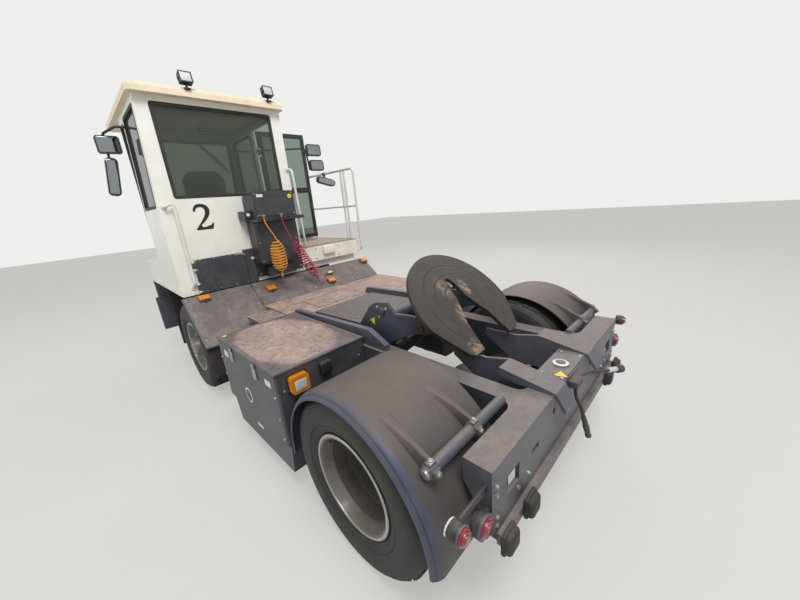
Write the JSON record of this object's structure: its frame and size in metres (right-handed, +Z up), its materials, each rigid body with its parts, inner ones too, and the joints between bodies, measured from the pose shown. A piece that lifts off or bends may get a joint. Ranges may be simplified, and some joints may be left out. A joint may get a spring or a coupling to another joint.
{
  "type": "terminal tractor",
  "caption": "Low yard tractor with an offset one-seat cab, a lifting fifth wheel on a boom and twin rear tyres.",
  "frame": {"origin": "on the ground, half-way along the tractor, on its centre line", "axes": "+X to the front, +Y to the left, +Z up"},
  "size_m": [5.5184, 2.8902, 3.3151],
  "materials": {
    "chassis_paint": "satin",
    "cab_paint": "satin",
    "grey_plastic": "matte",
    "rubber": "matte",
    "tyre_rubber": "matte",
    "rim_steel": "satin",
    "engine_paint": "matte",
    "cast_steel": "matte",
    "rod_chrome": "polished",
    "greased_steel": "worn",
    "glass": "clear",
    "black_plastic": "matte",
    "seat_fabric": "woven",
    "amber_lens": "gloss",
    "red_lens": "gloss",
    "clear_lens": "gloss",
    "yellow_hose": "gloss",
    "red_hose": "gloss",
    "brass": "worn"
  },
  "bodies": {
    "chassis": {"main_frame": "chassis_paint", "rear_frame": "chassis_paint", "rear_buffers": "rubber", "guide_ramps": "chassis_paint", "rear_mudguards": "grey_plastic", "mudguard_tubes": "chassis_paint", "deck_plates": "chassis_paint", "side_boxes": "chassis_paint", "engine_block": "engine_paint", "wheel_flaps": "rubber", "rear_axle": "chassis_paint", "front_axle": "chassis_paint", "cab_base": "cab_paint", "cab_rear_wall": "cab_paint", "cab_left_wall": "cab_paint", "cab_right_wall": "cab_paint", "cab_front_wall": "cab_paint", "cab_roof": "cab_paint", "cab_glass": "glass", "cab_interior": "black_plastic", "driver_seat": "seat_fabric", "steering_wheel": "black_plastic", "hand_rails": "cab_paint", "equipment_box": "chassis_paint", "work_lamps": "black_plastic", "amber_lamps": "amber_lens", "rear_lamps": "red_lens", "front_bumper": "chassis_paint", "headlamps": "clear_lens", "mirrors": "black_plastic", "air_line_yellow": "yellow_hose", "air_line_red": "red_hose", "rear_hose_left": "rubber", "rear_hose_right": "rubber", "rear_hose_plugs": "grey_plastic", "hose_couplings": "brass"},
    "rear_wheel_left": {"rear_tyres_left": "tyre_rubber", "rear_rims_left": "rim_steel"},
    "rear_wheel_right": {"rear_tyres_right": "tyre_rubber", "rear_rims_right": "rim_steel"},
    "knuckle_left": {"front_knuckle_left": "cast_steel"},
    "knuckle_right": {"front_knuckle_right": "cast_steel"},
    "front_wheel_left": {"front_tyre_left": "tyre_rubber", "front_rim_left": "rim_steel"},
    "front_wheel_right": {"front_tyre_right": "tyre_rubber", "front_rim_right": "rim_steel"},
    "boom": {"lift_boom": "chassis_paint"},
    "cylinder_barrels": {"lift_barrels": "chassis_paint"},
    "cylinder_rods": {"lift_rods": "rod_chrome"},
    "fifth_wheel": {"fifth_wheel_plate": "greased_steel"},
    "door": {"door_frame": "cab_paint", "door_glass": "glass"},
    "cover": {"access_cover": "chassis_paint"}
  },
  "joints": [
    {"name": "rear_wheel_left_spin", "type": "hinge", "parent": "chassis", "child": "rear_wheel_left", "pos_m": [-1.9, 0.904, 0.522], "axis": [0, 1, 0], "continuous": true},
    {"name": "rear_wheel_right_spin", "type": "hinge", "parent": "chassis", "child": "rear_wheel_right", "pos_m": [-1.9, -0.904, 0.522], "axis": [0, 1, 0], "continuous": true},
    {"name": "steer_left", "type": "hinge", "parent": "chassis", "child": "knuckle_left", "pos_m": [1.1, 0.85, 0.522], "axis": [0, 0, 1], "range_deg": [-35, 35]},
    {"name": "steer_right", "type": "hinge", "parent": "chassis", "child": "knuckle_right", "pos_m": [1.1, -0.85, 0.522], "axis": [0, 0, 1], "range_deg": [-35, 35]},
    {"name": "front_wheel_left_spin", "type": "hinge", "parent": "knuckle_left", "child": "front_wheel_left", "pos_m": [1.1, 1.052, 0.522], "axis": [0, 1, 0], "continuous": true},
    {"name": "front_wheel_right_spin", "type": "hinge", "parent": "knuckle_right", "child": "front_wheel_right", "pos_m": [1.1, -1.052, 0.522], "axis": [0, 1, 0], "continuous": true},
    {"name": "boom_lift", "type": "hinge", "parent": "chassis", "child": "boom", "pos_m": [-0.4, 0, 0.83], "axis": [0, 1, 0], "range_deg": [0, 22]},
    {"name": "cylinder_swing", "type": "hinge", "parent": "chassis", "child": "cylinder_barrels", "pos_m": [-0.85, 0, 0.43], "axis": [0, 1, 0], "range_deg": [0, 22]},
    {"name": "fifth_wheel_tilt", "type": "hinge", "parent": "boom", "child": "fifth_wheel", "pos_m": [-1.773, 0, 1.131], "axis": [0, 1, 0], "range_deg": [0, 47]},
    {"name": "door_swing", "type": "hinge", "parent": "chassis", "child": "door", "pos_m": [1.68, -0.29, 2.28], "axis": [0, 0, -1], "range_deg": [0, 90]},
    {"name": "cover_swing", "type": "hinge", "parent": "chassis", "child": "cover", "pos_m": [0.85, 1.04, 1.36], "axis": [0, 0, -1], "range_deg": [0, 85]},
    {"name": "rod_slide", "type": "slide", "parent": "cylinder_barrels", "child": "cylinder_rods", "axis": [-0.7533, 0, 0.6577], "range_m": [0, 0.24]}
  ],
  "couplings": [
    {"joint": "steer_right", "follows": "steer_left", "ratio": 1},
    {"joint": "cylinder_swing", "follows": "boom_lift", "ratio": 0.981},
    {"joint": "rod_slide", "follows": "boom_lift", "m_per_rad": 0.5985}
  ]
}
